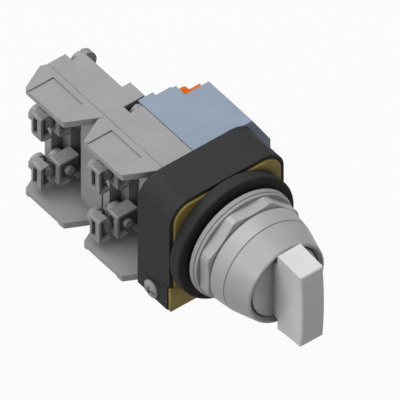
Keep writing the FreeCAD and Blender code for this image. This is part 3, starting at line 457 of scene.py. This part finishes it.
def thread_mesh(name, runs, pitch, depth, steps=30):
    """Thread ridges along Y. A run is x, z, radius and the two ends; the ridge fades at its ends."""
    mesh = bpy.data.meshes.new(name)
    corners, faces = [], []
    margin = THREAD_MARGIN * pitch
    rise = steps * THREAD_RISE
    for x, z, radius, start, end in runs:
        low, high = min(start, end), max(start, end)
        usable = high - low - 2 * margin
        count = max(steps // 2, int(steps * usable / pitch))
        first = len(corners)
        for number in range(count + 1):
            angle = 2 * math.pi * number / steps
            fade = max(LEAST_RISE, min(1.0, number / rise, (count - number) / rise))
            y = low + margin + usable * number / count
            half = FOOT_HALF * pitch * fade
            crest_half = RIDGE_CREST_HALF * half
            root, crest = radius - ROOT_SINK, radius + depth * fade
            for r, at in ((root, y - half), (crest, y - crest_half),
                          (crest, y + crest_half), (root, y + half)):
                corners.append((x + r * math.cos(angle), at, z + r * math.sin(angle)))
        for number in range(count):
            near, far = first + 4 * number, first + 4 * number + 4
            for step in range(4):
                after = (step + 1) % 4
                faces.append((near + step, near + after, far + after, far + step))
        last = first + 4 * count
        faces.append((first + 3, first + 2, first + 1, first))
        faces.append((last, last + 1, last + 2, last + 3))
    mesh.from_pydata(corners, [], faces)
    tidy_normals(mesh)
    return mesh


# Operators, one for each piece or group of like pieces

class SWITCH_OT_knob(Operator):
    """Finish the moulded handle, its set screw and the shaft that it turns"""
    bl_idname = "switch_part.knob"
    bl_label = "Knob"

    def execute(self, context):
        colours = context.scene.switch_colours
        # Strong painted shade in the knob's hollows, on the disc beside the bar
        dress(moulded_plastic("knob_moulding", colours.knob, 0.42, specular=0.4, grain_mm=0.3,
                              reach_mm=10.0, painted_hollow_shade=0.9), "knob")
        dress(plated_steel("set_screw_finish", colours.zinc), "knob_set_screw")
        dress(plated_steel("shaft_finish", colours.steel, roughness=0.28, metallic=0.8),
              "cam_shaft")
        return {"FINISHED"}


class SWITCH_OT_panel_stack(Operator):
    """Finish bezel, nut, flat rings and gasket, and put the ribs on the edges of the rings"""
    bl_idname = "switch_part.panel_stack"
    bl_label = "Bezel, nut and rings"

    # Plain rim beside the ribs, at each face of a ring
    plain_rim = 0.22 * MM

    def execute(self, context):
        colours, sizes = context.scene.switch_colours, context.scene.switch_sizes
        collar = satin_plating("collar_plating", colours.collar)
        dress(collar, "bezel", "mounting_nut", "trim_ring", "thrust_washer")
        dress(soft_rubber("gasket_rubber", colours.rubber), "panel_gasket", "shaft_seal")
        for node in ("trim_ring", "thrust_washer"):
            low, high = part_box(node)
            mesh = ribs_round(node + "_ribs", high.x, low.y + self.plain_rim,
                              high.y - self.plain_rim, sizes.rib_count, sizes.rib_height)
            new_piece(node + "_ribs", mesh, "operator", collar)
        return {"FINISHED"}


class SWITCH_OT_base(Operator):
    """Finish the die casting and put the thread on its neck"""
    bl_idname = "switch_part.base"
    bl_label = "Base casting"

    # The neck's thread shows between the thrust washer and the gasket, whose front face is at y = 0
    neck_radius = 14.8 * MM
    neck_steps = 96
    gasket_front = 0.0

    def execute(self, context):
        colours, sizes = context.scene.switch_colours, context.scene.switch_sizes
        casting = chromated_casting("casting_chromate", colours.casting, colours.casting_tint)
        dress(casting, "base_casting")
        washer_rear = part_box("thrust_washer")[1].y
        run = (0.0, 0.0, self.neck_radius, washer_rear, self.gasket_front)
        mesh = thread_mesh("neck_thread", [run], sizes.neck_pitch, sizes.neck_depth,
                           steps=self.neck_steps)
        new_piece("neck_thread", mesh, "operator", casting)
        return {"FINISHED"}


class SWITCH_OT_cover(Operator):
    """Finish the black cover, its foot and the screws in them"""
    bl_idname = "switch_part.cover"
    bl_label = "Cover"

    def execute(self, context):
        colours = context.scene.switch_colours
        cover = moulded_plastic("cover_moulding", colours.cover, 0.55, specular=0.04,
                                grain_mm=0.3, rubbed=1.5)
        dress(cover, "cover_shell", "foot_block")
        dress(plated_steel("cover_screw_zinc", colours.zinc), "ground_screw", "body_screws")
        return {"FINISHED"}


class SWITCH_OT_drive(Operator):
    """Finish the springs, the rods behind the cam and the carriers of the grey blocks"""
    bl_idname = "switch_part.drive"
    bl_label = "Drive"

    def execute(self, context):
        colours = context.scene.switch_colours
        dress(plated_steel("spring_steel_finish", colours.steel, roughness=0.3, metallic=0.85),
              "detent_spring", "return_spring_front", "return_spring_rear", "return_spring_blue")
        dress(moulded_plastic("rod_moulding", colours.white_carrier, 0.45), "push_rod_left",
              "push_rod_right", "carrier_front", "carrier_rear")
        return {"FINISHED"}


class SWITCH_OT_grey_blocks(Operator):
    """Finish the two grey contact blocks, with their screw tips and strips set back"""
    bl_idname = "switch_part.grey_blocks"
    bl_label = "Grey contact blocks"

    # Terminal screws. The corners of a tip lie within its chamfer and this far beside the screw.
    screw_radius = 1.35 * MM
    chamfer = 0.35 * MM
    beside_screw = 0.1 * MM
    # The outer screws have their axis at an x below the border
    column_border = -14.5 * MM
    # How far the solids' tips stand out ahead of the clamp, and how far an inner and an outer one
    # are set back from there
    tip_ahead = 1.4 * MM
    tip_set_back = (0.4 * MM, 2.0 * MM)
    # A tip's thread ends this far behind the front of the clamp
    thread_in_clamp = 0.8 * MM
    # Upright plate of a contact strip: thickness, a margin for finding its corners, and how far an
    # inner and an outer one are set back
    plate_thickness = 0.8 * MM
    plate_margin = 0.05 * MM
    plate_set_back = (0.6 * MM, 0.95 * MM)

    def execute(self, context):
        colours, sizes = context.scene.switch_colours, context.scene.switch_sizes
        # Strong painted shade in the bays and under the wings of the grey housings
        housing = moulded_plastic("grey_moulding", colours.grey_block, 0.5, specular=0.3,
                                  reach_mm=10.0, painted_hollow_shade=0.8, open_at=0.74)
        zinc = plated_steel("terminal_zinc", colours.zinc)
        brass = contact_metal("contact_brass", colours.brass)
        for label in LABELS:
            dress(housing, "grey_housing_" + label)
            dress(zinc, "mounting_screws_" + label)
            dress(brass, "bridges_" + label)
            self.turn_in(label, zinc, sizes)
        dress(zinc, *["clamp_" + mark for mark in TERMINALS])
        # The strips' tin is darkened to paint the shade in the clamp mouths
        tin = plated_steel("terminal_tin_and_mouth_shade", colours.tin, roughness=0.55)
        for mark in TERMINALS:
            set_back = self.plate_set_back["outer" in mark]
            plate_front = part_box("contact_" + mark)[0].y
            plate_rear = plate_front + self.plate_thickness + self.plate_margin
            mesh = moved_copy("contact_" + mark, lambda at: set_back if at.y < plate_rear else 0.0)
            piece = new_piece("terminal_strip_" + mark, mesh, "operator", tin)
            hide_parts("contact_" + mark)
        return {"FINISHED"}

    def turn_in(self, label, zinc, sizes):
        """Sets back the tips, and puts thread on those with room for more than a pitch of it."""
        node = "terminal_screws_" + label
        runs, ends = [], []
        for low, high in loose_parts(node):
            x, z = (low.x + high.x) / 2, (low.z + high.z) / 2
            shorter = self.tip_set_back[x < self.column_border]
            ends.append((x, z, low.y, shorter))
            tip = low.y + shorter
            thread_rear = low.y + self.tip_ahead + self.thread_in_clamp
            if tip + sizes.screw_pitch < thread_rear:
                runs.append((x, z, self.screw_radius, tip, thread_rear))

        def tip_shift(at):
            for x, z, end, shorter in ends:
                off_axis = max(abs(at.x - x), abs(at.z - z))
                if off_axis < self.screw_radius + self.beside_screw and at.y < end + self.chamfer:
                    return shorter
            return 0.0

        piece = new_piece("terminal_bolts_" + label, moved_copy(node, tip_shift), "operator",
                          zinc)
        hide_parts(node)
        mesh = thread_mesh("terminal_thread_" + label, runs, sizes.screw_pitch, sizes.screw_depth)
        new_piece("terminal_thread_" + label, mesh, "operator", zinc)


class SWITCH_OT_blue_block(Operator):
    """Finish the blue-grey block with its orange carrier, strips and screws"""
    bl_idname = "switch_part.blue_block"
    bl_label = "Blue-grey contact block"

    def execute(self, context):
        colours = context.scene.switch_colours
        dress(moulded_plastic("blue_moulding", colours.blue_block, 0.48, specular=0.3),
              "blue_housing")
        dress(moulded_plastic("orange_moulding", colours.carrier, 0.45, specular=0.1, rubbed=1.05),
              "orange_carrier")
        dress(contact_metal("strip_brass", colours.brass), "bridges_blue", "contact_strips_blue")
        dress(plated_steel("strip_screw_zinc", colours.zinc), "terminal_screws_blue")
        return {"FINISHED"}


# Stage

# Floor and sky as light on matt faces meets them
FLOOR_BOUNCE = (0.12, 0.12, 0.12)
SKY_LIGHT = (0.40, 0.40, 0.40)
# Floor and sky as the eye, gloss and glass meet them
BACKDROP = (0.97, 0.97, 0.97)
# Half the floor's side in metres, and its cells along a side
FLOOR_HALF = 3.0
FLOOR_CELLS = 12
FLOOR_ROUGHNESS = 0.9
# Name of a lamp, where its light comes from, strength, width in degrees, and if it casts a shadow
LAMPS = (("key_light", (-0.20, 0.45, 0.87), 1.05, 50.0, True),
         ("top_fill", (-0.20, 0.45, 0.87), 0.66, 50.0, False),
         ("side_light", (-0.90, -0.10, 0.50), 0.83, 18.0, True))
# The picture's right and up directions, and its centre along them from the origin, in metres
VIEW_RIGHT = Vector((0.7883, -0.6152, 0.0))
VIEW_UP = Vector((0.4350, 0.5575, 0.7071))
VIEW_CENTRE = (-0.010127, 0.010696)
# How far the camera stands back from that centre, and how far it sees, in metres
CAMERA_BACK = 0.5
CAMERA_REACH = 20.0


class SWITCH_OT_stage(Operator):
    """Make the pale floor, the light and the camera"""
    bl_idname = "switch_part.stage"
    bl_label = "Stage"

    def execute(self, context):
        sizes = context.scene.switch_sizes
        make_floor(sizes.floor_drop)
        make_light()
        make_camera(sizes.view_width)
        context.scene.view_settings.view_transform = "Standard"
        return {"FINISHED"}


def seen_by_eye_or_gloss(tree):
    """1 for rays from the camera, in a reflection or through glass, and 0 for light on matt faces."""
    rays = tree.nodes.new("ShaderNodeLightPath")
    either = rays.outputs["Is Camera Ray"]
    for key in ("Is Glossy Ray", "Is Transmission Ray"):
        most = tree.nodes.new("ShaderNodeMath")
        most.operation = "MAXIMUM"
        tree.links.new(either, most.inputs[0])
        tree.links.new(rays.outputs[key], most.inputs[1])
        either = most.outputs["Value"]
    return either


def two_tone(tree, hidden, seen):
    """One colour for light on matt faces, and another for the eye, gloss and glass."""
    mix = tree.nodes.new("ShaderNodeMix")
    mix.data_type = "RGBA"
    tree.links.new(seen_by_eye_or_gloss(tree), mix.inputs["Factor"])
    sockets = [s for s in mix.inputs if s.type == "RGBA"]
    sockets[0].default_value = (*hidden, 1.0)
    sockets[1].default_value = (*seen, 1.0)
    return next(s for s in mix.outputs if s.type == "RGBA")


def make_floor(drop):
    half, cells = FLOOR_HALF, FLOOR_CELLS
    mesh = bpy.data.meshes.new("floor")
    corners = [(-half + 2 * half * i / cells, -half + 2 * half * j / cells, -drop)
               for j in range(cells + 1) for i in range(cells + 1)]
    faces = [(j * (cells + 1) + i, j * (cells + 1) + i + 1, (j + 1) * (cells + 1) + i + 1,
              (j + 1) * (cells + 1) + i) for j in range(cells) for i in range(cells)]
    mesh.from_pydata(corners, [], faces)
    floor = bpy.data.objects.new("floor", mesh)
    bpy.context.scene.collection.objects.link(floor)
    material = bpy.data.materials.new("pale_floor")
    material.use_nodes = True
    shader = material.node_tree.nodes["Principled BSDF"]
    shader.inputs["Roughness"].default_value = FLOOR_ROUGHNESS
    shader.inputs["Specular IOR Level"].default_value = 0.0
    tone = two_tone(material.node_tree, FLOOR_BOUNCE, BACKDROP)
    material.node_tree.links.new(tone, shader.inputs["Base Color"])
    mesh.materials.append(material)


def make_light():
    world = bpy.data.worlds.new("studio")
    bpy.context.scene.world = world
    world.use_nodes = True
    tree = world.node_tree
    background = tree.nodes["Background"]
    tree.links.new(two_tone(tree, SKY_LIGHT, BACKDROP), background.inputs["Color"])
    for name, toward, energy, angle, shadow in LAMPS:
        toward = Vector(toward).normalized()
        data = bpy.data.lights.new(name, "SUN")
        data.energy = energy
        data.angle = math.radians(angle)
        data.use_shadow = shadow
        lamp = bpy.data.objects.new(name, data)
        lamp.rotation_euler = toward.to_track_quat("Z", "Y").to_euler()
        lamp.location = toward
        bpy.context.scene.collection.objects.link(lamp)


def make_camera(width):
    back = VIEW_RIGHT.cross(VIEW_UP)
    data = bpy.data.cameras.new("camera")
    data.type = "ORTHO"
    data.ortho_scale = width
    data.clip_end = CAMERA_REACH
    camera = bpy.data.objects.new("camera", data)
    bpy.context.scene.collection.objects.link(camera)
    target = VIEW_RIGHT * VIEW_CENTRE[0] + VIEW_UP * VIEW_CENTRE[1]
    turn = Matrix((VIEW_RIGHT, VIEW_UP, back)).transposed().to_4x4()
    camera.matrix_world = Matrix.Translation(target + back * CAMERA_BACK) @ turn
    bpy.context.scene.camera = camera


class SWITCH_PT_sidebar(Panel):
    """List the sizes, the colours and the steps that make the switch"""
    bl_label = "Selector switch"
    bl_idname = "SWITCH_PT_sidebar"
    bl_space_type = "VIEW_3D"
    bl_region_type = "UI"
    bl_category = "Switch"

    def draw(self, context):
        layout = self.layout
        for group in (context.scene.switch_sizes, context.scene.switch_colours):
            box = layout.box()
            for key in group.bl_rna.properties.keys():
                if key not in {"rna_type", "name"}:
                    box.prop(group, key)
        for step in STEPS:
            layout.operator(step.bl_idname)


STEPS = (SWITCH_OT_knob, SWITCH_OT_panel_stack, SWITCH_OT_base, SWITCH_OT_cover, SWITCH_OT_drive,
         SWITCH_OT_grey_blocks, SWITCH_OT_blue_block, SWITCH_OT_stage)
CLASSES = (SwitchColours, SwitchSizes) + STEPS + (SWITCH_PT_sidebar,)


def register():
    for kind in CLASSES:
        bpy.utils.register_class(kind)
    bpy.types.Scene.switch_colours = PointerProperty(type=SwitchColours)
    bpy.types.Scene.switch_sizes = PointerProperty(type=SwitchSizes)


def unregister():
    del bpy.types.Scene.switch_sizes
    del bpy.types.Scene.switch_colours
    for kind in reversed(CLASSES):
        bpy.utils.unregister_class(kind)


def main():
    register()
    for step in STEPS:
        group, name = step.bl_idname.split(".")
        getattr(getattr(bpy.ops, group), name)()


if __name__ == "__main__":
    main()
